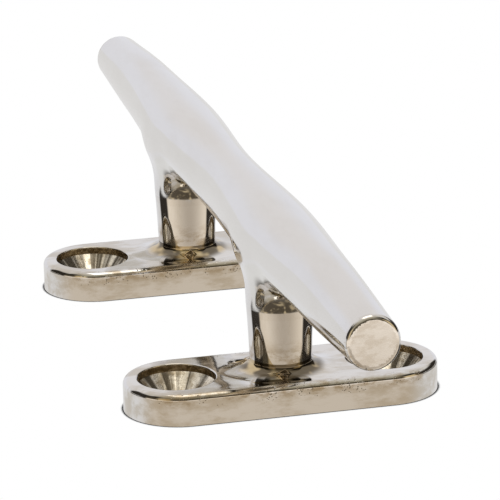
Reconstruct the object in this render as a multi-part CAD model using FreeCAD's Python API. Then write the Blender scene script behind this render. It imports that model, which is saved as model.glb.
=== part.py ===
import FreeCAD, Part
import math
import os

# Open-base mooring cleat for the deck of a boat, in polished stainless steel, millimetres.
# Frame: origin midway between the two feet on the deck plane, +X along the horn,
# +Y across it, +Z up. The front end is +X and the rear end is -X.
# The horn with its two bosses, the two posts and the two feet are separate pieces. They
# meet in spigot joints and are held by four butt welds, ground flush with the posts.

# ---- driving dimensions ----
HORN_LENGTH = 203.2           # eight inches over the horn's ends
FOOT_SPACING = 76.2           # three inches between the posts
FOOT_LENGTH = 60.0            # across the horn
FOOT_WIDTH = 21.4             # along the horn
FOOT_THICKNESS = 6.0
FOOT_EDGE_RADIUS = 1.2        # rounding of the foot's upper rim
SCREW_PITCH = 40.0            # between the two screws of one foot
SCREW_HOLE_RADIUS = 4.25      # clears an 8 mm or 5/16 in screw
SCREW_MOUTH_RADIUS = 7.3      # takes a flat head 14.5 mm across
SCREW_RECESS_DEPTH = 1.5      # straight wall above the countersink
MOUTH_EDGE_RADIUS = 0.25      # polished edge of the recess

# Stations along half the horn: place as a share of half its length, half width,
# half height and height of the axis above the deck.
HORN_STATIONS = (
    (0.000, 5.95, 7.15, 30.85),
    (0.375, 7.45, 6.90, 31.40),
    (0.688, 5.98, 6.75, 31.40),
    (1.000, 4.90, 4.90, 31.25),
)
HORN_SECTIONS = 12            # sections of the horn's loft from its middle to one end
COLUMN_SECTIONS = 5           # sections of each length of post
HORN_END_TILT = 3.0           # degrees that the end face looks upwards
HORN_END_RADIUS = 0.8         # rounding of the end face's rim

POST_RADIUS = 5.8             # post at its foot, and all the way up along the horn
POST_FLARE = 1.6              # how much wider it grows across the horn, up to the horn's axis
POST_FLARE_POWER = 1.5
BOSS_TOP_Z = 30.3             # top of the boss, hidden inside the horn
BOSS_FILLET_RADIUS = 5.0      # hollow between the boss and the horn's underside
FOOT_FILLET_RADIUS = 1.8      # hollow between the foot and its stub
LOWER_JOINT_Z = 9.0           # mid-height of the weld between foot and post
UPPER_JOINT_Z = 17.5          # mid-height of the weld between post and horn

SPIGOT_RADIUS = 3.2
SPIGOT_LENGTH = 3.5
SPIGOT_CLEARANCE = 0.05
SPIGOT_CHAMFER = 0.4
WELD_DEPTH = 1.2              # depth of the V groove that the weld fills
WELD_HALF_WIDTH = 0.7         # half its width at the surface
GROOVE_REACH = 2.0            # how far outside the post the groove's cutter starts

# ---- worked out from them ----
END_LEAN = HORN_STATIONS[-1][2] * math.sin(math.radians(HORN_END_TILT))
HALF_HORN = HORN_LENGTH / 2 - END_LEAN
POST_X = FOOT_SPACING / 2
SCREW_Y = SCREW_PITCH / 2
HORN_AXIS_Z = HORN_STATIONS[1][3]
NEAR = 0.01                   # two places closer than this are the same place

UP = FreeCAD.Vector(0, 0, 1)
ORIGIN = FreeCAD.Vector(0, 0, 0)


def slopes(places, values):
    """Slopes that carry a curve through the values without overshooting them."""
    steps = [(values[i + 1] - values[i]) / (places[i + 1] - places[i]) for i in range(len(places) - 1)]
    result = [0.0]
    for before, after in zip(steps, steps[1:]):
        turns = before * after <= 0
        result.append(0.0 if turns else 2 * before * after / (before + after))
    result.append(steps[-1])
    return result


def along(share, column):
    """One of the horn's measures at a share of its half length, by a cubic between stations."""
    places = [station[0] for station in HORN_STATIONS]
    values = [station[column] for station in HORN_STATIONS]
    slope = slopes(places, values)
    last = len(places) - 2
    i = min(last, sum(1 for place in places[1:] if share > place))
    span = places[i + 1] - places[i]
    t = (share - places[i]) / span
    start = values[i] * (1 + 2 * t) * (1 - t) ** 2 + slope[i] * span * t * (1 - t) ** 2
    end = values[i + 1] * t * t * (3 - 2 * t) + slope[i + 1] * span * t * t * (t - 1)
    return start + end


def oval(half_a, half_b, placement):
    """Closed oval wire with half axes along the local X and Y of the placement."""
    circle = Part.Wire([Part.Circle(ORIGIN, UP, 1.0).toShape()])
    stretch = FreeCAD.Matrix()
    stretch.scale(half_a, half_b, 1.0)
    wire = circle.transformGeometry(stretch)
    wire.Placement = placement
    return wire


def cylinder(radius, low, high, x=0.0, y=0.0):
    """Upright round bar between two heights."""
    return Part.makeCylinder(radius, high - low, FreeCAD.Vector(x, y, low), UP)


def level(z):
    """Placement on the Z axis at a height, with no turn."""
    return FreeCAD.Placement(FreeCAD.Vector(0, 0, z), FreeCAD.Rotation())


def horn_bar():
    """The horn: oval sections that swell over each post and taper to a round end."""
    wires = []
    for step in range(-HORN_SECTIONS, HORN_SECTIONS + 1):
        share = step / HORN_SECTIONS
        half_width = along(abs(share), 1)
        half_height = along(abs(share), 2)
        centre = FreeCAD.Vector(share * HALF_HORN, 0, along(abs(share), 3))
        facing_x = FreeCAD.Rotation(FreeCAD.Vector(0, 1, 0), 90 - HORN_END_TILT * share)
        wires.append(oval(half_height, half_width, FreeCAD.Placement(centre, facing_x)))
    bar = Part.makeLoft(wires, True, False)
    rims = [edge for edge in bar.Edges if abs(abs(edge.CenterOfMass.x) - HALF_HORN) < 1.0]
    return bar.makeFillet(HORN_END_RADIUS, rims)


def post_half_axes(z):
    """Half axes of the post at a height: along the horn, and across it."""
    share = max(z - FOOT_THICKNESS, 0.0) / (HORN_AXIS_Z - FOOT_THICKNESS)
    return POST_RADIUS, POST_RADIUS + POST_FLARE * share ** POST_FLARE_POWER


def column(low, high):
    """Oval column on the Z axis between two heights."""
    wires = []
    for step in range(COLUMN_SECTIONS):
        z = low + (high - low) * step / (COLUMN_SECTIONS - 1)
        half_x, half_y = post_half_axes(z)
        wires.append(oval(half_x, half_y, level(z)))
    return Part.makeLoft(wires, True, False)


def weld_groove(z):
    """V-shaped ring about a post, centred at a height, that reaches well outside the post."""
    half_x, half_y = post_half_axes(z)
    half_opening = WELD_HALF_WIDTH * (WELD_DEPTH + GROOVE_REACH) / WELD_DEPTH
    wide = (half_x + GROOVE_REACH, half_y + GROOVE_REACH)
    narrow = (half_x - WELD_DEPTH, half_y - WELD_DEPTH)
    waisted = Part.makeLoft([
        oval(*wide, level(z - half_opening)),
        oval(*narrow, level(z)),
        oval(*wide, level(z + half_opening)),
    ], True, True)
    around = cylinder(POST_RADIUS + 2 * GROOVE_REACH, z - half_opening, z + half_opening)
    return around.cut(waisted)


def spigot(shoulder, direction):
    """Round spigot with a chamfered tip, standing on a shoulder height of the post."""
    low, high = sorted((shoulder, shoulder + direction * SPIGOT_LENGTH))
    pin = cylinder(SPIGOT_RADIUS, low, high)
    tip = high if direction > 0 else low
    rim = [edge for edge in pin.Edges if abs(edge.CenterOfMass.z - tip) < NEAR]
    return pin.makeChamfer(SPIGOT_CHAMFER, rim)


def socket(mouth, direction):
    """Blind hole for a spigot, a little deeper and wider than it, from its mouth height."""
    depth = SPIGOT_LENGTH + SPIGOT_CLEARANCE * 4
    low, high = sorted((mouth, mouth + direction * depth))
    return cylinder(SPIGOT_RADIUS + SPIGOT_CLEARANCE, low, high)


def screw_hole(y):
    """Through hole with a 90 degree countersink under a straight recess."""
    sink_top = FOOT_THICKNESS - SCREW_RECESS_DEPTH
    sink_depth = SCREW_MOUTH_RADIUS - SCREW_HOLE_RADIUS
    tip = FreeCAD.Vector(0, y, sink_top - sink_depth)
    sink = Part.makeCone(SCREW_HOLE_RADIUS, SCREW_MOUTH_RADIUS, sink_depth, tip, UP)
    through = cylinder(SCREW_HOLE_RADIUS, 0, FOOT_THICKNESS, 0, y)
    recess = cylinder(SCREW_MOUTH_RADIUS, sink_top, FOOT_THICKNESS, 0, y)
    return through.fuse([sink, recess])


def top_edges(body):
    """Edges that lie in the upper face of a foot."""
    return [edge for edge in body.Edges
            if edge.BoundBox.ZLength < NEAR and abs(edge.BoundBox.ZMin - FOOT_THICKNESS) < NEAR]


def plate():
    """Foot plate: straight sides, round ends and a rounded upper rim."""
    radius = FOOT_WIDTH / 2
    centre = FOOT_LENGTH / 2 - radius
    right_low = FreeCAD.Vector(radius, -centre, 0)
    right_high = FreeCAD.Vector(radius, centre, 0)
    left_low = FreeCAD.Vector(-radius, -centre, 0)
    left_high = FreeCAD.Vector(-radius, centre, 0)
    top = FreeCAD.Vector(0, FOOT_LENGTH / 2, 0)
    bottom = FreeCAD.Vector(0, -FOOT_LENGTH / 2, 0)
    outline = Part.Wire([
        Part.makeLine(right_low, right_high),
        Part.Arc(right_high, top, left_high).toShape(),
        Part.makeLine(left_high, left_low),
        Part.Arc(left_low, bottom, right_low).toShape(),
    ])
    body = Part.Face(outline).extrude(UP * FOOT_THICKNESS)
    return body.makeFillet(FOOT_EDGE_RADIUS, top_edges(body))


def foot():
    """Foot plate with its filleted stub, spigot socket, weld chamfer and two screw holes."""
    body = plate()
    for y in (-SCREW_Y, SCREW_Y):
        body = body.cut(screw_hole(y))
    mouths = [edge for edge in top_edges(body) if abs(abs(edge.CenterOfMass.y) - SCREW_Y) < NEAR]
    body = body.makeFillet(MOUTH_EDGE_RADIUS, mouths)
    body = body.fuse(column(FOOT_THICKNESS / 2, LOWER_JOINT_Z))
    seat = [edge for edge in top_edges(body)
            if edge.CenterOfMass.Length < FOOT_THICKNESS + 1.0 and edge.Length > FOOT_WIDTH]
    body = body.makeFillet(FOOT_FILLET_RADIUS, seat)
    return body.cut([weld_groove(LOWER_JOINT_Z), socket(LOWER_JOINT_Z, -1)])


def post():
    """Post between its two joints, with a spigot at each end and both rims cut for welding."""
    body = column(LOWER_JOINT_Z, UPPER_JOINT_Z)
    body = body.cut([weld_groove(LOWER_JOINT_Z), weld_groove(UPPER_JOINT_Z)])
    return body.fuse([spigot(LOWER_JOINT_Z, -1), spigot(UPPER_JOINT_Z, 1)])


def weld(z):
    """Filler metal in the V groove about a joint, ground flush with the post."""
    room = 3 * WELD_HALF_WIDTH
    return column(z - room, z + room).common(weld_groove(z))


def horn():
    """The horn bar with a flared boss over each post, each with its socket and weld chamfer."""
    body = horn_bar()
    boss = column(UPPER_JOINT_Z, BOSS_TOP_Z)
    tools = [weld_groove(UPPER_JOINT_Z), socket(UPPER_JOINT_Z, 1)]
    for x in (-POST_X, POST_X):
        shift = FreeCAD.Vector(x, 0, 0)
        body = body.fuse(boss.translated(shift))
        seam = [edge for edge in body.Edges
                if abs(edge.CenterOfMass.x - x) < 1.0 and edge.BoundBox.XLength > POST_RADIUS
                and edge.BoundBox.ZMin > UPPER_JOINT_Z + 1.0]
        body = body.makeFillet(BOSS_FILLET_RADIUS, seam)
        body = body.cut([tool.translated(shift) for tool in tools])
    return body


def single_solid(shape, name):
    """The one solid of a finished piece, checked."""
    solids = shape.Solids
    if len(solids) != 1:
        raise ValueError(f"{name} has {len(solids)} solids")
    if not solids[0].isValid():
        raise ValueError(f"{name} is not a valid solid")
    return solids[0]


def main():
    os.makedirs("parts", exist_ok=True)
    pieces = {"horn": horn()}
    for end, x in (("front", POST_X), ("rear", -POST_X)):
        shift = FreeCAD.Vector(x, 0, 0)
        pieces[f"{end}_foot"] = foot().translated(shift)
        pieces[f"{end}_post"] = post().translated(shift)
        pieces[f"{end}_lower_weld"] = weld(LOWER_JOINT_Z).translated(shift)
        pieces[f"{end}_upper_weld"] = weld(UPPER_JOINT_Z).translated(shift)
    for name, shape in pieces.items():
        solid = single_solid(shape, name)
        solid.exportStep(f"parts/{name}.step")
        box = solid.BoundBox
        print(name, round(solid.Volume, 1), [round(v, 3) for v in (box.XMin, box.YMin, box.ZMin)],
              [round(v, 3) for v in (box.XMax, box.YMax, box.ZMax)])


main()
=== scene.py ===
import math

import bmesh
import bpy
import numpy as np
from mathutils import Matrix, Vector
from mathutils.geometry import delaunay_2d_cdt


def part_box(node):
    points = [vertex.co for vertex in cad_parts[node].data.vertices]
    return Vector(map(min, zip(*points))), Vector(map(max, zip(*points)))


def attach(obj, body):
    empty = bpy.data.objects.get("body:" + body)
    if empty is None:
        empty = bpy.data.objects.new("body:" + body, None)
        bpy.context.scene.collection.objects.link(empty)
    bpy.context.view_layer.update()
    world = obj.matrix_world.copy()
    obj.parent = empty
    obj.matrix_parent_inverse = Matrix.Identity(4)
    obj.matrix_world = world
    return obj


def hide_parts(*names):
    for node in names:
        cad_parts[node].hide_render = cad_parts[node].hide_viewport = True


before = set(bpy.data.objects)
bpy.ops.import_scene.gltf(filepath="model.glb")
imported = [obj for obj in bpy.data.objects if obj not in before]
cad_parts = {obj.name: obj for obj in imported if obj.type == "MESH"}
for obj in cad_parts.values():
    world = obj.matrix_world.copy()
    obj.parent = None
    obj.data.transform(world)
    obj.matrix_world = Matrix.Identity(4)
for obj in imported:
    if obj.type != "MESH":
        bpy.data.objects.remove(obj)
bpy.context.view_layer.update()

# An open-base mooring cleat in polished stainless steel. Every CAD node is replaced by a
# mesh of the same shape that is fine enough for mirror reflections. Only the hollows where the
# pieces meet are fuller, as hand polishing leaves them. Lengths are in millimetres up to the
# point where a mesh is made, which is in metres.
MM = 1000.0

# ---- places, from the frame ----
foot_low, foot_high = (np.array(corner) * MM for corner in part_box("front_foot"))
horn_low, horn_high = (np.array(corner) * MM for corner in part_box("horn"))
POST_X = (foot_low[0] + foot_high[0]) / 2
FOOT_HALF_WIDTH = (foot_high[0] - foot_low[0]) / 2
FOOT_HALF_LENGTH = (foot_high[1] - foot_low[1]) / 2
LOWER_JOINT_Z = foot_high[2]
UPPER_JOINT_Z = horn_low[2]
HORN_REACH = horn_high[0]

# ---- the CAD's own measures ----
HORN_STATIONS = np.array((
    (0.000, 5.95, 7.15, 30.85),
    (0.375, 7.45, 6.90, 31.40),
    (0.688, 5.98, 6.75, 31.40),
    (1.000, 4.90, 4.90, 31.25),
))                            # share of half the length, half width, half height, axis height
HORN_END_TILT = math.radians(3.0)
HORN_END_RADIUS = 0.8
HALF_HORN = HORN_REACH - HORN_STATIONS[-1, 2] * math.sin(HORN_END_TILT)
HORN_AXIS_Z = 31.4
FOOT_THICKNESS = 6.0
FOOT_EDGE_RADIUS = 1.2
FOOT_FILLET_RADIUS = 1.8
POST_RADIUS = 5.8
POST_FLARE = 1.6
POST_FLARE_POWER = 1.5
SCREW_Y = 20.0
SCREW_HOLE_RADIUS = 4.25
SCREW_MOUTH_RADIUS = 7.3
SCREW_RECESS_DEPTH = 1.5
MOUTH_EDGE_RADIUS = 0.25
SPIGOT_RADIUS = 3.2
SPIGOT_LENGTH = 3.5
SPIGOT_CHAMFER = 0.4
SOCKET_RADIUS = 3.25
SOCKET_DEPTH = 3.7
WELD_DEPTH = 1.2
WELD_HALF_WIDTH = 0.7

# ---- the hollows, as hand polishing leaves them ----
SKIRT_FORE = 3.2              # reach of the hollow at the foot of a post, fore and aft
SKIRT_SIDE = 6.2              # and towards the screws
BLEND_ALONG = 8.8             # reach of the hollow between horn and boss, fore and aft of the boss
BLEND_ACROSS = 9.0            # and at its sides
BOSS_TURN_Z = 18.2            # above this the boss turns from the post's oval to a squarer one,
BOSS_TURN_RISE = 8.0          # over this height,
BOSS_GROWTH = 1.3             # longer by this fore and aft,
BOSS_TUCK = 1.05              # narrower by this at each side,
BOSS_SQUARE = 0.8             # and this much above the 2 that is an oval's power
BOSS_FADE_Z = 26.0            # above this it fades out inside the bar
BOSS_FADE = 0.1

# ---- mesh fineness ----
AROUND = 256                  # points round a post
AROUND_HOLE = 160
ALONG_END = 96                # points round each round end of a foot
ALONG_SIDE = 23               # points along each straight side of a foot
FOOT_EDGE_STEPS = 14
MOUTH_EDGE_STEPS = 5
SKIRT_ROWS = 33
POST_ROWS = 18
HORN_VOXEL = 0.45
ROUGH_AROUND = 48
ROUGH_ALONG = 81
NEWTON_STEPS = 3
RELAX_STEPS = 12
SLOPE_STEP = 0.01             # half of the distance over which the horn's field is compared
MERGE_GRID = 2000             # grid lines a millimetre, to which shared edges are rounded


# ======================= meshes =======================

class Skin:
    """A closed surface put together from patches that carry their own normals."""

    def __init__(self):
        self.points, self.normals, self.faces, self.slots = [], [], [], []
        self.count = 0

    def add(self, points, normals, faces, slot):
        self.points.append(points)
        self.normals.append(normals)
        self.faces += [[self.count + i for i in face] for face in faces]
        self.slots += [slot] * len(faces)
        self.count += len(points)

    def rings(self, loops, normals=None, slot=0):
        """Faces between closed loops of equal length; normals come from the grid if not given."""
        grid = np.array(loops)
        rows, columns = grid.shape[:2]
        if normals is None:
            round_way = np.roll(grid, -1, 1) - np.roll(grid, 1, 1)
            across = np.gradient(grid, axis=0)
            normals = np.cross(round_way, across)
            normals /= np.linalg.norm(normals, axis=2, keepdims=True) + 1e-12
        faces = []
        for i in range(rows - 1):
            for j in range(columns):
                k = (j + 1) % columns
                low, high = i * columns, (i + 1) * columns
                faces.append((low + j, low + k, high + k, high + j))
        self.add(grid.reshape(-1, 3), np.array(normals).reshape(-1, 3), faces, slot)

    def flat(self, outer, holes, up, slot=0):
        """A level face inside one outline and outside others, looking up (1) or down (-1)."""
        outlines = [np.array(outer)] + [np.array(hole) for hole in holes]
        height = outlines[0][0, 2]
        flat_points = np.vstack(outlines)[:, :2]
        edges, start = [], 0
        for outline in outlines:
            n = len(outline)
            edges += [(start + i, start + (i + 1) % n) for i in range(n)]
            start += n
        found = delaunay_2d_cdt([Vector(p) for p in flat_points], edges, [], 0, 1e-5, False)
        points = np.array([tuple(p) for p in found[0]])
        triangles = []
        for face in found[2]:
            middle = points[list(face)].mean(0)
            if inside(middle, outlines[0]) and not any(inside(middle, o) for o in outlines[1:]):
                a, b, c = points[list(face)]
                turn = (b[0] - a[0]) * (c[1] - a[1]) - (b[1] - a[1]) * (c[0] - a[0])
                triangles.append(list(face) if turn * up > 0 else list(face)[::-1])
        solid = np.column_stack([points, np.full(len(points), height)])
        self.add(solid, np.tile((0.0, 0.0, float(up)), (len(points), 1)), triangles, slot)

    def build(self, name, materials):
        """Mesh object in metres, with the patches' shared edges merged and their normals kept."""
        points, normals = np.vstack(self.points), np.vstack(self.normals)
        _, first, merged = np.unique(np.round(points * MERGE_GRID).astype(np.int64), axis=0,
                                     return_index=True, return_inverse=True)
        merged = merged.ravel()
        faces, slots, corners = [], [], []
        for face, slot in zip(self.faces, self.slots):
            keep = [i for n, i in enumerate(face) if merged[i] != merged[face[n - 1]]]
            if len(keep) > 2:
                faces.append([int(merged[i]) for i in keep])
                slots.append(slot)
                corners += [normals[i] for i in keep]
        mesh = bpy.data.meshes.new(name)
        mesh.from_pydata((points[first] / MM).tolist(), [], faces)
        return finish_mesh(name, mesh, np.array(corners), slots, materials)


def finish_mesh(name, mesh, corners, slots, materials):
    """Object for a mesh, smooth, with a normal for each face corner and a material for each face."""
    for material in materials:
        mesh.materials.append(material)
    mesh.polygons.foreach_set("use_smooth", [True] * len(mesh.polygons))
    mesh.polygons.foreach_set("material_index", slots)
    mesh.normals_split_custom_set(corners.tolist())
    mesh.update()
    obj = bpy.data.objects.new(name, mesh)
    bpy.context.scene.collection.objects.link(obj)
    return obj


def inside(point, outline):
    """Whether a level point lies inside a closed outline."""
    x, y = point
    a, b = outline[:, :2], np.roll(outline[:, :2], -1, 0)
    crosses = (a[:, 1] > y) != (b[:, 1] > y)
    with np.errstate(divide="ignore", invalid="ignore"):
        at = a[:, 0] + (y - a[:, 1]) / (b[:, 1] - a[:, 1]) * (b[:, 0] - a[:, 0])
    return bool(np.count_nonzero(crosses & (x < at)) % 2)


def turn_list(count):
    angle = np.linspace(0, 2 * np.pi, count, endpoint=False)
    return np.cos(angle), np.sin(angle)


def oval_loop(x, half_x, half_y, z, count=AROUND):
    cos, sin = turn_list(count)
    return np.column_stack([x + half_x * cos, half_y * sin, np.full(count, float(z))])


def circle_loop(x, y, radius, z, count):
    cos, sin = turn_list(count)
    return np.column_stack([x + radius * cos, y + radius * sin, np.full(count, float(z))])


def post_half_y(z):
    share = np.maximum(z - FOOT_THICKNESS, 0.0) / (HORN_AXIS_Z - FOOT_THICKNESS)
    return POST_RADIUS + POST_FLARE * share ** POST_FLARE_POWER


def sweep(skin, x, shape, values):
    """Patch of ovals round a post: shape gives half_x, half_y and z, and its slope the normals."""
    cos, sin = turn_list(AROUND)
    step = 1e-4
    loops, normals = [], []
    for value in values:
        half_x, half_y, z = shape(value)
        move = (np.array(shape(value + step)) - np.array(shape(value - step))) / (2 * step)
        loops.append(oval_loop(x, half_x, half_y, z))
        rise = -half_x * move[1] * sin ** 2 - half_y * move[0] * cos ** 2
        normal = np.column_stack([half_y * move[2] * cos, half_x * move[2] * sin, rise])
        normals.append(normal / np.linalg.norm(normal, axis=1, keepdims=True))
    skin.rings(loops, normals)


def post_shape(z):
    return POST_RADIUS, post_half_y(z), z


def skirt_shape(turn):
    """The hollow between foot and post: a quarter oval, level at 0 and upright at a quarter turn."""
    z = FOOT_THICKNESS + FOOT_FILLET_RADIUS * (1 - math.cos(turn))
    out = 1 - math.sin(turn)
    return POST_RADIUS + SKIRT_FORE * out, post_half_y(z) + SKIRT_SIDE * out, z


def arc(steps):
    """Cosine and sine of a quarter turn in even steps."""
    return [(math.cos(a), math.sin(a)) for a in np.linspace(0, math.pi / 2, steps + 1)]


# ----------------------- foot -----------------------

def stadium(x, inset, z):
    """Foot outline drawn in by an inset, with its outward directions."""
    radius = FOOT_HALF_WIDTH - inset
    centre = FOOT_HALF_LENGTH - FOOT_HALF_WIDTH
    half_turn = np.linspace(0, np.pi, ALONG_END + 1)
    straight = np.linspace(-1, 1, ALONG_SIDE + 2)[1:-1] * centre
    out = [np.column_stack([np.cos(half_turn), np.sin(half_turn)])]
    points = [out[0] * radius + (0, centre)]
    out.append(np.tile((-1.0, 0.0), (len(straight), 1)))
    points.append(np.column_stack([np.full(len(straight), -radius), straight[::-1]]))
    out.append(-out[0])
    points.append(-points[0])
    out.append(-out[1])
    points.append(-points[1])
    level, outward = np.vstack(points), np.vstack(out)
    loop = np.column_stack([level[:, 0] + x, level[:, 1], np.full(len(level), float(z))])
    return loop, outward


def screw_hole(skin, x, y):
    """Mouth edge, straight recess, countersink and through hole, down to the foot's underside."""
    count = AROUND_HOLE
    cos, sin = turn_list(count)
    top = FOOT_THICKNESS
    sink_top = top - SCREW_RECESS_DEPTH
    sink_foot = sink_top - (SCREW_MOUTH_RADIUS - SCREW_HOLE_RADIUS)

    def patch(profile, slot):
        loops = [circle_loop(x, y, radius, z, count) for radius, z, _, _ in profile]
        normals = [np.column_stack([cos * out, sin * out, np.full(count, up)])
                   for _, _, out, up in profile]
        skin.rings(loops, normals, slot)

    rim = [(SCREW_MOUTH_RADIUS + MOUTH_EDGE_RADIUS * (1 - s), top - MOUTH_EDGE_RADIUS * (1 - c), -s, c)
           for c, s in arc(MOUTH_EDGE_STEPS)]
    slant = math.sqrt(0.5)
    patch(rim, 0)
    patch([(SCREW_MOUTH_RADIUS, z, -1, 0) for z in np.linspace(top - MOUTH_EDGE_RADIUS, sink_top, 5)], 1)
    patch([(SCREW_MOUTH_RADIUS, sink_top, -slant, slant), (SCREW_HOLE_RADIUS, sink_foot, -slant, slant)], 2)
    patch([(SCREW_HOLE_RADIUS, sink_foot, -1, 0), (SCREW_HOLE_RADIUS, 0, -1, 0)], 1)
    mouth = circle_loop(x, y, SCREW_MOUTH_RADIUS + MOUTH_EDGE_RADIUS, top, count)
    return mouth, circle_loop(x, y, SCREW_HOLE_RADIUS, 0, count)


def make_foot(name, x, materials):
    skin = Skin()
    loops, normals = [], []
    profile = [(0.0, z, 1.0, 0.0) for z in np.linspace(0, FOOT_THICKNESS - FOOT_EDGE_RADIUS, 4)]
    for c, s in arc(FOOT_EDGE_STEPS)[1:]:
        inset = FOOT_EDGE_RADIUS * (1 - c)
        profile.append((inset, FOOT_THICKNESS - FOOT_EDGE_RADIUS * (1 - s), c, s))
    for inset, z, out, up in profile:
        loop, outward = stadium(x, inset, z)
        loops.append(loop)
        normals.append(np.column_stack([outward * out, np.full(len(loop), up)]))
    skin.rings(loops, normals)
    mouths, exits = zip(*(screw_hole(skin, x, y) for y in (-SCREW_Y, SCREW_Y)))
    sweep(skin, x, skirt_shape, np.linspace(0, math.pi / 2, SKIRT_ROWS))
    stub_low, stub_high = FOOT_THICKNESS + FOOT_FILLET_RADIUS, LOWER_JOINT_Z - WELD_HALF_WIDTH
    sweep(skin, x, post_shape, np.linspace(stub_low, stub_high, 3))
    stub_foot = oval_loop(x, *skirt_shape(0))
    skin.flat(loops[-1], list(mouths) + [stub_foot], 1)
    skin.flat(loops[0], exits, -1)
    weld_face(skin, x, LOWER_JOINT_Z, -1)
    return skin.build(name, materials)


# ----------------------- posts and welds -----------------------

def joint_loops(x, z, side):
    """Loops on one side of a weld: at the post's surface, and at the root of the V."""
    edge_z = z + side * WELD_HALF_WIDTH
    edge = oval_loop(x, POST_RADIUS, post_half_y(edge_z), edge_z)
    root = oval_loop(x, POST_RADIUS - WELD_DEPTH, post_half_y(z) - WELD_DEPTH, z)
    return edge, root


def weld_face(skin, x, z, side):
    """End of a piece at a weld: chamfer, flat end and spigot socket. side is where its body lies."""
    edge, root = joint_loops(x, z, side)
    mouth = circle_loop(x, 0, SOCKET_RADIUS, z, AROUND)
    floor = circle_loop(x, 0, SOCKET_RADIUS, z + side * SOCKET_DEPTH, AROUND)
    for pair in ((edge, root), (mouth, floor)):
        skin.rings(pair if side < 0 else pair[::-1])
    skin.flat(root, [mouth], -side)
    skin.flat(floor, [], -side)


def make_post(name, x, materials):
    skin = Skin()
    low, high = LOWER_JOINT_Z + WELD_HALF_WIDTH, UPPER_JOINT_Z - WELD_HALF_WIDTH
    sweep(skin, x, post_shape, np.linspace(low, high, POST_ROWS))
    for z, side in ((LOWER_JOINT_Z, 1), (UPPER_JOINT_Z, -1)):
        edge, root = joint_loops(x, z, side)
        tip = z - side * SPIGOT_LENGTH
        base = circle_loop(x, 0, SPIGOT_RADIUS, z, AROUND)
        neck = circle_loop(x, 0, SPIGOT_RADIUS, tip + side * SPIGOT_CHAMFER, AROUND)
        end = circle_loop(x, 0, SPIGOT_RADIUS - SPIGOT_CHAMFER, tip, AROUND)
        for pair in ((edge, root), (base, neck), (neck, end)):
            skin.rings(pair if side < 0 else pair[::-1])
        skin.flat(root, [base], -side)
        skin.flat(end, [], -side)
    return skin.build(name, materials)


def make_weld(name, x, z, materials):
    skin = Skin()
    sweep(skin, x, post_shape, np.linspace(z - WELD_HALF_WIDTH, z + WELD_HALF_WIDTH, 4))
    low_edge, root = joint_loops(x, z, -1)
    high_edge, _ = joint_loops(x, z, 1)
    skin.rings([root, low_edge])
    skin.rings([high_edge, root])
    return skin.build(name, materials)


# ----------------------- horn -----------------------

def station_slopes(column):
    """Slopes that carry a curve through the stations without overshooting them."""
    places, values = HORN_STATIONS[:, 0], HORN_STATIONS[:, column]
    steps = np.diff(values) / np.diff(places)
    slopes = np.zeros(len(places))
    for i, (before, after) in enumerate(zip(steps, steps[1:])):
        if before * after > 0:
            slopes[i + 1] = 2 * before * after / (before + after)
    slopes[-1] = steps[-1]
    return slopes


SLOPES = {column: station_slopes(column) for column in (1, 2, 3)}


def along(share, column):
    """One of the horn's measures at shares of its half length."""
    places, values, slopes = HORN_STATIONS[:, 0], HORN_STATIONS[:, column], SLOPES[column]
    i = np.clip(np.searchsorted(places, share) - 1, 0, len(places) - 2)
    span = places[i + 1] - places[i]
    t = (share - places[i]) / span
    start = values[i] * (1 + 2 * t) * (1 - t) ** 2 + slopes[i] * span * t * (1 - t) ** 2
    end = values[i + 1] * t * t * (3 - 2 * t) + slopes[i + 1] * span * t * t * (t - 1)
    return start + end


def oval_distance(u, v, half_u, half_v, square=2.0):
    """Distance from an oval, near its line; a power over 2, its square, swells its four corners."""
    k = (np.abs(u / half_u) ** square + np.abs(v / half_v) ** square) ** (1 / square) + 1e-9
    steep = np.sqrt((u / half_u ** 2) ** 2 + (v / half_v ** 2) ** 2) + 1e-9
    return (k - 1) * k / steep


def horn_field(p):
    """Signed distance of points from the horn with its two bosses: below nought inside."""
    x, y, z = p[:, 0], p[:, 1], p[:, 2]
    reach = np.abs(x)
    share = np.clip(reach / HALF_HORN, 0, 1.02)
    lean = np.tan(HORN_END_TILT * share) * (z - along(share, 3))
    share = np.clip((reach + lean) / HALF_HORN, 0, 1.02)
    bar = oval_distance(y, z - along(share, 3), along(share, 1), along(share, 2))
    end = (reach - HALF_HORN) * math.cos(HORN_END_TILT)
    end = end + (z - HORN_STATIONS[-1, 3]) * math.sin(HORN_END_TILT)
    over_bar, over_end = np.maximum(bar + HORN_END_RADIUS, 0), np.maximum(end + HORN_END_RADIUS, 0)
    bar = np.minimum(np.maximum(bar, end), -HORN_END_RADIUS) + np.hypot(over_bar, over_end)
    turned = np.clip((z - BOSS_TURN_Z) / BOSS_TURN_RISE, 0, 1)
    turned = turned * turned * (3 - 2 * turned)
    boss = oval_distance(reach - POST_X, y, POST_RADIUS + BOSS_GROWTH * turned,
                         post_half_y(z) - BOSS_TUCK * turned, 2.0 + BOSS_SQUARE * turned)
    boss = boss + BOSS_FADE * np.maximum(z - BOSS_FADE_Z, 0) ** 2
    # The hollow's reach turns from its value across to its value along, and it is a cubic blend.
    fore = (reach - POST_X) ** 2
    fore = fore / (fore + y ** 2 + 0.01)
    blend = BLEND_ACROSS + (BLEND_ALONG - BLEND_ACROSS) * fore
    meet = np.maximum(blend - np.abs(bar - boss), 0) / blend
    return np.minimum(bar, boss) - meet ** 3 * blend / 6


def field_and_slope(p):
    """The field and its gradient, by central differences."""
    slope = np.empty_like(p)
    for axis in range(3):
        shift = np.zeros(3)
        shift[axis] = SLOPE_STEP
        slope[:, axis] = (horn_field(p + shift) - horn_field(p - shift)) / (2 * SLOPE_STEP)
    return horn_field(p), slope


def settle(p, steps=NEWTON_STEPS):
    """Points moved onto the surface of the field."""
    for _ in range(steps):
        value, slope = field_and_slope(p)
        p = p - slope * (value / (slope ** 2).sum(1))[:, None]
    return p


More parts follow.
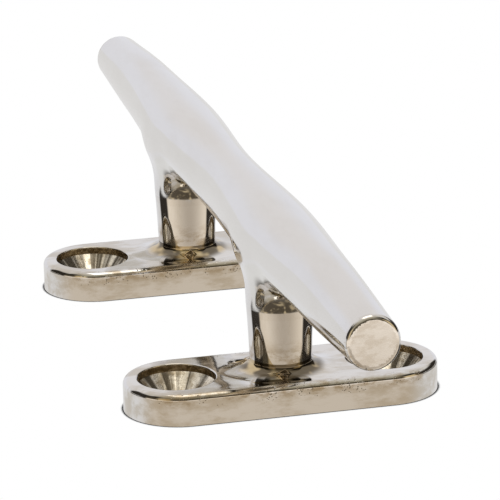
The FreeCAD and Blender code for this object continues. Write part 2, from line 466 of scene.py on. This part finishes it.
def rough_horn():
    """Closed bar and two boss cylinders, overlapping, remeshed to one even skin of small quads."""
    mesh = bpy.data.meshes.new("rough")
    points, faces = [], []

    def tube(loops):
        start = len(points)
        n = len(loops[0])
        for loop in loops:
            points.extend(loop.tolist())
        for i in range(len(loops) - 1):
            for j in range(n):
                k = (j + 1) % n
                faces.append([start + i * n + j, start + i * n + k,
                              start + (i + 1) * n + k, start + (i + 1) * n + j])
        faces.append([start + j for j in range(n)][::-1])
        faces.append([start + (len(loops) - 1) * n + j for j in range(n)])

    cos, sin = turn_list(ROUGH_AROUND)
    loops = []
    for share in np.linspace(-1, 1, ROUGH_ALONG):
        size = np.array([abs(share)])
        width, height, axis = (along(size, c)[0] for c in (1, 2, 3))
        lean = math.tan(HORN_END_TILT * share)
        loops.append(np.column_stack([share * HALF_HORN - lean * height * sin, width * cos,
                                      axis + height * sin]))
    tube([loop / MM for loop in loops])
    overhang = 2.0                # cut off again at the weld
    for x in (-POST_X, POST_X):
        tube([oval_loop(x, POST_RADIUS, POST_RADIUS, z, ROUGH_AROUND) / MM
              for z in (UPPER_JOINT_Z - overhang, HORN_AXIS_Z)])
    mesh.from_pydata(points, [], faces)
    obj = bpy.data.objects.new("rough", mesh)
    bpy.context.scene.collection.objects.link(obj)
    remesh = obj.modifiers.new("remesh", "REMESH")
    remesh.mode = "VOXEL"
    remesh.voxel_size = HORN_VOXEL / MM
    graph = bpy.context.evaluated_depsgraph_get()
    result = bpy.data.meshes.new_from_object(obj.evaluated_get(graph))
    bpy.data.objects.remove(obj)
    return result


def relax(p, edges):
    """Points evened out along the surface."""
    count = np.bincount(edges.ravel(), minlength=len(p))[:, None]
    for _ in range(RELAX_STEPS):
        total = np.zeros_like(p)
        for axis in range(3):
            total[:, axis] = np.bincount(edges[:, 0], p[edges[:, 1], axis], len(p))
            total[:, axis] += np.bincount(edges[:, 1], p[edges[:, 0], axis], len(p))
        move = total / count - p
        _, slope = field_and_slope(p)
        slope /= np.linalg.norm(slope, axis=1, keepdims=True)
        move -= slope * (move * slope).sum(1)[:, None]
        p = settle(p + 0.5 * move, 1)
    return p


def mesh_points(mesh):
    flat = np.empty(len(mesh.vertices) * 3)
    mesh.vertices.foreach_get("co", flat)
    return flat.reshape(-1, 3)


def cut_bosses(mesh):
    """Cuts the bosses at their welds, down to chamfer, end and socket. Returns the new faces' numbers."""
    bm = bmesh.new()
    bm.from_mesh(mesh)
    cut_z = UPPER_JOINT_Z + WELD_HALF_WIDTH
    whole = list(bm.verts) + list(bm.edges) + list(bm.faces)
    bmesh.ops.bisect_plane(bm, geom=whole, dist=1e-7, plane_co=(0, 0, cut_z / MM),
                           plane_no=(0, 0, 1), clear_inner=True)
    share_x = (POST_RADIUS - WELD_DEPTH) / POST_RADIUS
    share_y = (post_half_y(UPPER_JOINT_Z) - WELD_DEPTH) / post_half_y(cut_z)

    def root(x, y):
        return x * share_x, y * share_y, UPPER_JOINT_Z

    def socket_mouth(x, y):
        size = SOCKET_RADIUS / math.hypot(x, y)
        return x * size, y * size, UPPER_JOINT_Z

    def socket_end(x, y):
        return x, y, UPPER_JOINT_Z + SOCKET_DEPTH

    added = []
    for place in (root, socket_mouth, socket_end):
        rims = [e for e in bm.edges if e.is_boundary]
        ring = bmesh.ops.extrude_edge_only(bm, edges=rims)["geom"]
        added += [g for g in ring if isinstance(g, bmesh.types.BMFace)]
        for vert in (g for g in ring if isinstance(g, bmesh.types.BMVert)):
            centre = math.copysign(POST_X, vert.co.x)
            x, y, z = place(vert.co.x * MM - centre, vert.co.y * MM)
            vert.co = ((centre + x) / MM, y / MM, z / MM)
    open_edges = [e for e in bm.edges if e.is_boundary]
    added += bmesh.ops.holes_fill(bm, edges=open_edges, sides=0)["faces"]
    bmesh.ops.recalc_face_normals(bm, faces=bm.faces)
    bm.faces.index_update()
    flats = {face.index for face in added}
    bm.to_mesh(mesh)
    bm.free()
    mesh.update()
    return flats


def horn_corners(mesh, flats):
    """A normal for each face corner: the field's slope, or the face's own on the flats."""
    _, slope = field_and_slope(mesh_points(mesh) * MM)
    slope /= np.linalg.norm(slope, axis=1, keepdims=True)
    vertex = np.empty(len(mesh.loops), np.int64)
    mesh.loops.foreach_get("vertex_index", vertex)
    corners = slope[vertex]
    for index in flats:
        polygon = mesh.polygons[index]
        for loop in polygon.loop_indices:
            corners[loop] = polygon.normal
    return corners


def make_horn(name, materials):
    mesh = rough_horn()
    edges = np.empty(len(mesh.edges) * 2, np.int64)
    mesh.edges.foreach_get("vertices", edges)
    points = relax(settle(mesh_points(mesh) * MM), edges.reshape(-1, 2))
    mesh.vertices.foreach_set("co", (settle(points) / MM).ravel())
    corners = horn_corners(mesh, cut_bosses(mesh))
    return finish_mesh(name, mesh, corners, [0] * len(mesh.polygons), materials)


# ======================= materials =======================

# Lengths here are in millimetres, and a noise's scale is its cells in a millimetre.

class Graph:
    """Short names for the nodes of one shader tree."""

    def __init__(self, tree):
        self.tree = tree
        tree.nodes.clear()

    def node(self, kind, inputs=None, **settings):
        made = self.tree.nodes.new(kind)
        for key, value in settings.items():
            setattr(made, key, value)
        for key, value in (inputs or {}).items():
            self.put(made.inputs[key], value)
        return made

    def put(self, socket, value):
        if isinstance(value, bpy.types.NodeSocket):
            self.tree.links.new(value, socket)
        else:
            socket.default_value = value

    def math(self, operation, a, b=0.0, clamp=False):
        made = self.node("ShaderNodeMath", {0: a, 1: b}, operation=operation, use_clamp=clamp)
        return made.outputs[0]

    def times(self, first, *others):
        for other in others:
            first = self.math("MULTIPLY", first, other)
        return first

    def apart(self, value, middle):
        """How far the value is from the middle."""
        return self.math("ABSOLUTE", self.math("SUBTRACT", value, middle))

    def length(self, a, b):
        return self.math("SQRT", self.math("ADD", self.times(a, a), self.times(b, b)))

    def span(self, value, low, high, start=0.0, end=1.0):
        """The value carried smoothly from low..high to start..end, and held beyond."""
        made = self.node("ShaderNodeMapRange", {0: value, 1: low, 2: high, 3: start, 4: end},
                         interpolation_type="SMOOTHSTEP")
        return made.outputs[0]

    def mix(self, share, a, b):
        """Colour between a and b."""
        made = self.node("ShaderNodeMix", data_type="RGBA")
        self.put(made.inputs[0], share)
        self.put(made.inputs[6], a)
        self.put(made.inputs[7], b)
        return made.outputs[2]

    def noise(self, vector, scale, detail=3.0, rough=0.5, distortion=0.0):
        inputs = {"Vector": vector, "Scale": scale, "Detail": detail, "Roughness": rough,
                  "Distortion": distortion}
        return self.node("ShaderNodeTexNoise", inputs).outputs["Fac"]

    def place(self, stretch=(1.0, 1.0, 1.0)):
        """Place on the object in millimetres, stretched."""
        where = self.node("ShaderNodeTexCoord").outputs["Object"]
        size = tuple(MM * s for s in stretch)
        return self.node("ShaderNodeMapping", {"Vector": where, "Scale": size}).outputs[0]

    def parts(self, vector):
        return self.node("ShaderNodeSeparateXYZ", {0: vector}).outputs

    def dot(self, vector, along):
        made = self.node("ShaderNodeVectorMath", {0: vector, 1: along}, operation="DOT_PRODUCT")
        return made.outputs["Value"]

    def bump(self, height, distance, normal=None):
        """Normals tilted by a height field of the given depth in millimetres."""
        inputs = {"Height": height, "Distance": distance / MM, "Strength": 1.0}
        if normal is not None:
            inputs["Normal"] = normal
        return self.node("ShaderNodeBump", inputs).outputs[0]

    def output(self, shader, kind="ShaderNodeOutputMaterial"):
        self.put(self.node(kind).inputs["Surface"], shader.outputs[0])

    def bare_metal(self, shade, rough, normal):
        self.output(self.node("ShaderNodeBsdfPrincipled", {
            "Base Color": shade, "Metallic": 1.0, "Roughness": rough, "Normal": normal}))


def rgb(red, green, blue):
    return (red, green, blue, 1.0)


def new_material(name):
    material = bpy.data.materials.new(name)
    material.use_nodes = True
    return material, Graph(material.node_tree)


WHITE = rgb(1, 1, 1)
POLISHED = rgb(0.80, 0.785, 0.765)
WELD_METAL = rgb(0.78, 0.76, 0.735)
STAIN_LOSS = (0.07, 0.085, 0.11)      # what a faint stain takes from red, green and blue
BROWN_STAIN = rgb(0.42, 0.33, 0.21)
PIT_BOTTOM = rgb(0.13, 0.09, 0.05)
# Painted shade and painted golden glints for the hollow round each post, where the metal mirrors the shaded
# horn and post.
HOLLOW_PAINTED_DARK = rgb(0.12, 0.09, 0.05)
HOLLOW_PAINTED_GLINT = rgb(0.66, 0.52, 0.30)
# Cast colour of the screw holes' walls; its dark also holds painted shade for the depth of the holes.
CAST_DARK_AND_SHADE = rgb(0.20, 0.145, 0.075)
CAST_PALE = rgb(0.55, 0.45, 0.31)
# Countersink tones: a pale bright enough to be a painted glint, a brown for stains, and a painted shade for
# the dark wedge-shaped patches.
TURNED_PALE_AND_GLINT = rgb(0.95, 0.88, 0.75)
TURNED_BROWN = rgb(0.50, 0.40, 0.26)
WEDGE_PAINTED_SHADE = rgb(0.13, 0.11, 0.08)
BLOTCH_STRETCH = (0.7, 0.5, 1.0)
PIT_DEPTH = 0.06


def metal(name, colour, roughness, waves, scratches, grain, wear_and_shade_shares, stain=1.0):
    """Polished stainless steel: soft waves from hand polishing, fine scratches, faint stains.

    waves and scratches are depths. grain is the scratches' cells in a millimetre along each
    axis, fewest along their run. The last argument makes from a place on the object the shares of
    pits, of brown stain and of painted shade, dark with golden glints, in the hollow round a post."""
    material, g = new_material(name)
    plain = g.place()
    drawn = g.place(tuple(0.35 if size == min(grain) else 1.0 for size in grain))
    lines = g.noise(g.place(grain), 1.0, 4.0, 0.65)
    smear = g.noise(drawn, 0.2, 5.0, 0.65)
    normal = g.bump(lines, scratches, g.bump(g.noise(drawn, 0.11, 2.0, 0.45), waves))
    dulled = rgb(*(part * (1 - stain * loss) for part, loss in zip(colour, STAIN_LOSS)))
    shade = g.mix(g.span(smear, 0.42, 0.60), colour, dulled)
    rough = g.math("ADD", g.span(smear, 0.3, 0.75, roughness * 0.7, roughness * 1.3),
                   g.span(lines, 0.55, 0.8, 0.0, roughness * 0.5))
    g.bare_metal(*wear_and_painted_shade(g, plain, wear_and_shade_shares(g, plain), shade, rough, normal))
    return material


def wear_and_painted_shade(g, place, shares, shade, rough, normal):
    """Colour, roughness and normal with pits, brown stain and painted shade on them: the hollow round a
    post goes dark with golden glints.
    """
    pitted, stained, hollow = shares
    blotch = g.span(g.noise(g.place(BLOTCH_STRETCH), 0.62, 4.0, 0.65), 0.42, 0.62)
    blotch = g.times(blotch, stained)
    cells = g.node("ShaderNodeTexVoronoi", {"Vector": place, "Scale": 2.1, "Randomness": 1.0})
    dots = g.span(cells.outputs["Distance"], 0.08, 0.36, 1.0, 0.0)
    few = g.span(g.noise(place, 0.4, 2.0), 0.52, 0.60)
    pit = g.times(dots, few, pitted)
    normal = g.bump(g.math("SUBTRACT", 1.0, pit), PIT_DEPTH, normal)
    clouds = g.span(g.noise(place, 0.34, 1.0, 0.4), 0.46, 0.64)
    # Painted shade: the hollow round a post is made dark with golden glints.
    shade = g.mix(hollow, shade, g.mix(clouds, HOLLOW_PAINTED_DARK, HOLLOW_PAINTED_GLINT))
    shade = g.mix(g.times(blotch, 0.75), shade, BROWN_STAIN)
    shade = g.mix(g.times(pit, 0.75), shade, PIT_BOTTOM)
    rough = g.math("ADD", rough, g.times(g.math("ADD", blotch, pit), 0.12))
    return shade, rough, normal


def foot_wear_and_shade(g, place):
    """Pits and stain along the upper edge of a foot's long sides; painted shade, dark with golden glints,
    in the hollow round its post.
    """
    x, y, z = g.parts(place)
    side = g.apart(g.math("ABSOLUTE", x), POST_X)
    edge = g.times(g.span(z, 2.8, 4.8), g.span(z, 5.9, 6.05, 1.0, 0.3),
                   g.span(side, FOOT_HALF_WIDTH - 2.4, FOOT_HALF_WIDTH - 1.2))
    # Where the painted shade of the hollow round the post falls.
    hollow = g.span(g.length(side, y), POST_RADIUS + 1.2, POST_RADIUS + 3.0, 0.9, 0.0)
    return edge, edge, hollow


def worn_horn(g, place):
    """A few pits on the lower rim of the horn's end faces, and faint stain over them."""
    x, y, z = g.parts(place)
    tip = g.span(g.math("ABSOLUTE", x), HORN_REACH - 2.0, HORN_REACH - 1.0)
    up = g.math("SUBTRACT", z, float(HORN_STATIONS[-1, 3]))
    low = g.span(g.math("ADD", up, g.times(y, 0.8)), -4.0, -2.0, 1.0, 0.0)
    rim = g.times(tip, g.span(g.length(up, y), 4.1, 4.5), low)
    return rim, g.math("MAXIMUM", rim, g.times(tip, 0.3)), 0.0


def browner_near_foot(g, place):
    """Browner and darker towards the bottom of a post."""
    _, _, z = g.parts(place)
    return 0.0, g.span(z, LOWER_JOINT_Z - 1.0, LOWER_JOINT_Z + 5.0, 1.0, 0.0), 0.0


def cast_and_shaded_metal(name):
    """Rough, brownish wall left from casting inside a screw hole, darkened further with painted shade for
    the depth of the hole.
    """
    material, g = new_material(name)
    coarse = g.noise(g.place(), 0.9, 4.0, 0.6)
    fine = g.noise(g.place(), 4.5, 3.0, 0.6)
    normal = g.bump(fine, 0.05, g.bump(coarse, 0.25))
    shade = g.mix(g.span(coarse, 0.35, 0.68), CAST_DARK_AND_SHADE, CAST_PALE)
    g.bare_metal(shade, g.span(fine, 0.3, 0.7, 0.28, 0.5), normal)
    return material


def turned_metal(name):
    """Countersink cut by a rotating tool: fine rings, and wedge-shaped patches of painted highlight and
    painted shade round the cone, in place of the glints of its turned surface.
    """
    material, g = new_material(name)
    x, y, _ = g.parts(g.place())
    x = g.math("SUBTRACT", g.math("ABSOLUTE", x), POST_X)
    y = g.math("SUBTRACT", g.math("ABSOLUTE", y), SCREW_Y)
    radius = g.length(x, y)
    outward = g.node("ShaderNodeCombineXYZ", {0: radius}).outputs[0]
    bearing = {0: g.math("DIVIDE", x, radius), 1: g.math("DIVIDE", y, radius)}
    round_way = g.node("ShaderNodeCombineXYZ", bearing).outputs[0]
    rings = g.noise(outward, 5.0, 5.0, 0.7)
    # Painted highlight and shade: dark wedge-shaped patches round the cone, with pale glints between them.
    painted_glint_wedges = g.span(g.noise(round_way, 2.6, 3.0, 0.6), 0.44, 0.58)
    stains = g.noise(g.place(), 0.5, 4.0, 0.6)
    normal = g.bump(rings, 0.03, g.bump(stains, 0.12))
    shade = g.mix(g.span(stains, 0.44, 0.7), TURNED_PALE_AND_GLINT, TURNED_BROWN)
    shade = g.mix(painted_glint_wedges, shade, WEDGE_PAINTED_SHADE)
    g.bare_metal(shade, g.span(stains, 0.3, 0.7, 0.2, 0.34), normal)
    return material


# ======================= studio =======================

VIEW_AZIMUTH = math.radians(76.1)
VIEW_ELEVATION = math.radians(17.54)
VIEW_ROLL = math.radians(-1.08)
VIEW_DISTANCE = 0.6832
VIEW_TARGET = Vector((0.01579, 0.0, 0.02198))
VIEW_LENS = 257.5             # on a sensor 36 mm wide
TO_CAMERA = (math.sin(VIEW_AZIMUTH), -math.cos(VIEW_AZIMUTH), 0.0)
TO_RIGHT = (math.cos(VIEW_AZIMUTH), math.sin(VIEW_AZIMUTH), 0.0)

# Directions in degrees: turn is the angle from the camera to its right, rise the elevation.
DARK_PATCH_TURN = 14.0        # middle of the darker part of the table in front
LAMP_TURNS = (-32.0, 60.0)    # warm lights low in the room behind the camera
LEFT_OPENING = (-118.0, -66.0)
RIGHT_OPENING = (80.0, 156.0)
OPENING_EDGE = 8.0
OPENING_TOP = (23.0, 36.0)    # rise over which an opening ends
LEFT_OPENING_LIFT = 12.0      # the left opening is taller by this
WALL_START = (95.0, 115.0)    # where the white tent begins, to either side
ROOM_START = (-3.0, 4.0)      # rise at which the table gives way to the room

TABLE_SHADED = rgb(0.50, 0.43, 0.35)
TABLE_LIT = rgb(0.88, 0.78, 0.65)
TABLE_FAR = rgb(1.08, 0.98, 0.86)
ROOM_DARK = rgb(0.09, 0.075, 0.05)
ROOM_LAMP = rgb(0.75, 0.60, 0.36)
ROOM_WALL = rgb(0.38, 0.35, 0.27)
ROOM_CORNER = rgb(0.03, 0.027, 0.022)
CEILING = rgb(0.62, 0.58, 0.50)
OPENING_DARK = rgb(0.035, 0.03, 0.025)
OVER_OPENING = rgb(0.74, 0.72, 0.69)
TENT_FLOOR = rgb(0.80, 0.80, 0.815)
TENT_WALL = rgb(0.825, 0.83, 0.88)
TENT_TOP = rgb(0.82, 0.80, 0.80)
LOW_LEFT = rgb(0.78, 0.78, 0.775)

SOFTBOX_SIZE = (0.3, 0.2)     # metres, as is its place
SOFTBOX_PLACE = (0.08, 0.0, 0.45)
SOFTBOX_LIGHT = 1.3           # how bright its face is, where a white wall of the tent is 0.8
SOFTBOX_COLOUR = (1.0, 0.97, 0.92)

FLOOR_HALF = 4.0
CONTACT_REACH = 0.0009        # of the painted contact shadow, a thin dark line under each foot, in metres
CLOSE_BY = (0.020, 0.034)     # metres from the metal, within which the floor shows its own tone
FAR_OFF = (0.078, 0.090)      # and beyond which it does again, behind the object
SHADOW_REACH = (85.0, 105.0)  # millimetres from the middle, along the cleat
CLOSE_BEHIND = rgb(0.79, 0.785, 0.785)
CLOSE_IN_FRONT = rgb(0.66, 0.58, 0.48)
SHADOW_DARK = rgb(0.06, 0.046, 0.028)
SHADOW_GOLD = rgb(0.55, 0.44, 0.27)


def make_camera():
    a, e, roll = VIEW_AZIMUTH, VIEW_ELEVATION, VIEW_ROLL
    back = Vector((math.sin(a) * math.cos(e), -math.cos(a) * math.cos(e), math.sin(e)))
    right = (-back).cross(Vector((0, 0, 1))).normalized()
    up = right.cross(-back)
    turned = right * math.cos(roll) + up * math.sin(roll)
    above = up * math.cos(roll) - right * math.sin(roll)
    camera = bpy.data.objects.new("camera", bpy.data.cameras.new("camera"))
    camera.data.sensor_width = 36.0
    camera.data.lens = VIEW_LENS
    camera.data.clip_start = 0.01
    basis = Matrix((turned, above, back)).transposed().to_4x4()
    camera.matrix_world = Matrix.Translation(VIEW_TARGET + back * VIEW_DISTANCE) @ basis
    bpy.context.scene.collection.objects.link(camera)
    bpy.context.scene.camera = camera


def bearings(g, way):
    """Turn and rise of a direction."""
    turn = g.math("ARCTAN2", g.dot(way, TO_RIGHT), g.dot(way, TO_CAMERA))
    rise = g.math("ARCSINE", g.parts(way)[2])
    return g.math("DEGREES", turn), g.math("DEGREES", rise)


def table_and_room(g, turn, rise):
    """What lies on the camera's side: a table, and above it a dark room with two warm lamps."""
    table = g.mix(g.span(g.apart(turn, DARK_PATCH_TURN), 2.0, 74.0), TABLE_SHADED, TABLE_LIT)
    table = g.mix(g.span(rise, -17.0, -11.0), table, TABLE_FAR)
    lamps = g.math("ADD", *(g.span(g.apart(turn, lamp), 7.0, 18.0, 1.0, 0.0) for lamp in LAMP_TURNS))
    low_room = g.mix(lamps, ROOM_DARK, ROOM_LAMP)
    high_room = g.mix(g.span(g.math("ABSOLUTE", turn), 34.0, 54.0), ROOM_WALL, ROOM_CORNER)
    room = g.mix(g.span(rise, 22.0, 30.0), low_room, high_room)
    room = g.mix(g.span(rise, 40.0, 62.0), room, CEILING)
    return g.mix(g.span(rise, *ROOM_START), table, room)


def opening(g, turn, ends):
    """1 inside an opening of the tent, with soft edges."""
    low, high = ends
    return g.times(g.span(turn, low, low + OPENING_EDGE), g.span(turn, high - OPENING_EDGE, high, 1.0, 0.0))


def surroundings(g, way):
    """Light from a direction: a white tent behind the object, open at the sides and to the camera."""
    turn, rise = bearings(g, way)
    tent = g.mix(g.span(rise, -22.0, -6.0), TENT_FLOOR, TENT_WALL)
    tent = g.mix(g.span(rise, 10.0, 24.0), tent, TENT_TOP)
    colour = g.mix(g.span(g.math("ABSOLUTE", turn), *WALL_START), table_and_room(g, turn, rise), tent)
    lift = g.span(turn, 0.0, 10.0, LEFT_OPENING_LIFT, 0.0)
    dark = g.mix(g.span(g.math("SUBTRACT", rise, lift), *OPENING_TOP), OPENING_DARK, OVER_OPENING)
    openings = g.math("ADD", opening(g, turn, LEFT_OPENING), opening(g, turn, RIGHT_OPENING), True)
    colour = g.mix(openings, colour, dark)
    low_left = g.times(g.span(rise, -25.5, -22.5, 1.0, 0.0), g.span(turn, -60.0, -50.0, 1.0, 0.0))
    return g.mix(low_left, colour, LOW_LEFT)


def make_world():
    """The studio round the object; the camera itself sees plain white."""
    world = bpy.data.worlds.new("studio")
    bpy.context.scene.world = world
    world.use_nodes = True
    g = Graph(world.node_tree)
    tent = surroundings(g, g.node("ShaderNodeTexCoord").outputs["Generated"])
    seen = g.node("ShaderNodeLightPath").outputs["Is Camera Ray"]
    background = g.node("ShaderNodeBackground", {"Color": g.mix(seen, tent, WHITE), "Strength": 1.0})
    g.output(background, "ShaderNodeOutputWorld")


def make_light():
    """One large soft lamp above the object."""
    lamp = bpy.data.lights.new("softbox", "AREA")
    lamp.shape = "RECTANGLE"
    lamp.size, lamp.size_y = SOFTBOX_SIZE
    lamp.energy = SOFTBOX_LIGHT * math.pi * lamp.size * lamp.size_y
    lamp.color = SOFTBOX_COLOUR
    softbox = bpy.data.objects.new("softbox", lamp)
    softbox.location = SOFTBOX_PLACE
    bpy.context.scene.collection.objects.link(softbox)


def floor_tone(g, distance):
    """What a reflection shows of the floor, from the distance it is seen over.

    It is the studio's tone for its direction, apart from the floor's own tone close by, and a
    shadow with golden streaks under the cleat."""
    towards = g.node("ShaderNodeNewGeometry").outputs["Incoming"]
    way = g.node("ShaderNodeVectorMath", {0: towards, 3: -1.0}, operation="SCALE").outputs[0]
    ahead = g.dot(way, TO_CAMERA)
    far = g.times(g.span(distance, *FAR_OFF), g.span(ahead, 0.0, 0.3, 1.0, 0.0))
    near = g.math("ADD", g.span(distance, *CLOSE_BY, 1.0, 0.0), far, True)
    close = g.mix(g.span(ahead, -0.2, 0.7), CLOSE_BEHIND, CLOSE_IN_FRONT)
    fall = g.parts(way)[2]
    steep = g.times(g.span(fall, -0.45, -0.35, 0.95, 0.0), g.span(ahead, 0.1, 0.4))
    steep = g.math("MAXIMUM", steep, g.span(fall, -0.74, -0.55, 0.9, 0.0))
    from_middle = g.math("ABSOLUTE", g.parts(g.place())[0])
    under = g.times(steep, g.span(from_middle, *SHADOW_REACH, 1.0, 0.0))
    streaks = g.span(g.noise(way, 2.6, 1.0, 0.4, 1.2), 0.5, 0.66)
    shadow = g.mix(streaks, SHADOW_DARK, SHADOW_GOLD)
    return g.mix(under, g.mix(near, surroundings(g, way), close), shadow)


def make_floor():
    """A plain pale floor: white to the eye, with a painted contact shadow, a thin dark line, under each
    foot.
    """
    material, g = new_material("floor")
    # Painted contact shadow: the floor's glow dims where it meets a foot.
    contact = g.node("ShaderNodeAmbientOcclusion", {"Distance": CONTACT_REACH}, samples=16).outputs["AO"]
    seen = g.node("ShaderNodeEmission", {"Color": WHITE, "Strength": g.span(contact, 0.6, 0.9, 0.02, 1.0)})
    path = g.node("ShaderNodeLightPath").outputs
    mirrored = g.node("ShaderNodeEmission", {"Color": floor_tone(g, path["Ray Length"]), "Strength": 1.0})
    g.output(g.node("ShaderNodeMixShader", {0: path["Is Camera Ray"], 1: mirrored.outputs[0],
                                            2: seen.outputs[0]}))
    half = FLOOR_HALF
    mesh = bpy.data.meshes.new("floor")
    mesh.from_pydata([(-half, -half, 0), (half, -half, 0), (half, half, 0), (-half, half, 0)],
                     [], [(0, 1, 2, 3)])
    mesh.materials.append(material)
    floor = bpy.data.objects.new("floor", mesh)
    bpy.context.scene.collection.objects.link(floor)


# ======================= assembly =======================

horn_steel = metal("horn_steel", POLISHED, 0.11, 0.014, 0.0022, (0.06, 1.6, 1.6), worn_horn, stain=0.3)
post_steel = metal("post_steel", POLISHED, 0.06, 0.03, 0.0010, (1.2, 1.2, 0.1), browner_near_foot)
foot_steel = metal("foot_steel", POLISHED, 0.05, 0.12, 0.0012, (1.4, 0.08, 1.4), foot_wear_and_shade, stain=3.0)
weld_steel = metal("weld_steel", WELD_METAL, 0.07, 0.035, 0.0012, (1.2, 1.2, 0.4), browner_near_foot)
hole_wall = cast_and_shaded_metal("hole_wall")
countersink = turned_metal("countersink")

pieces = {"horn": make_horn("horn_polished", [horn_steel])}
for end, x in (("front", POST_X), ("rear", -POST_X)):
    pieces[f"{end}_foot"] = make_foot(f"{end}_foot_polished", x, [foot_steel, hole_wall, countersink])
    pieces[f"{end}_post"] = make_post(f"{end}_post_polished", x, [post_steel])
    pieces[f"{end}_lower_weld"] = make_weld(f"{end}_lower_weld_dressed", x, LOWER_JOINT_Z, [weld_steel])
    pieces[f"{end}_upper_weld"] = make_weld(f"{end}_upper_weld_dressed", x, UPPER_JOINT_Z, [weld_steel])
for node, piece in pieces.items():
    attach(piece, "root")
    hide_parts(node)

make_camera()
make_world()
make_light()
make_floor()
bpy.context.scene.view_settings.view_transform = "Standard"
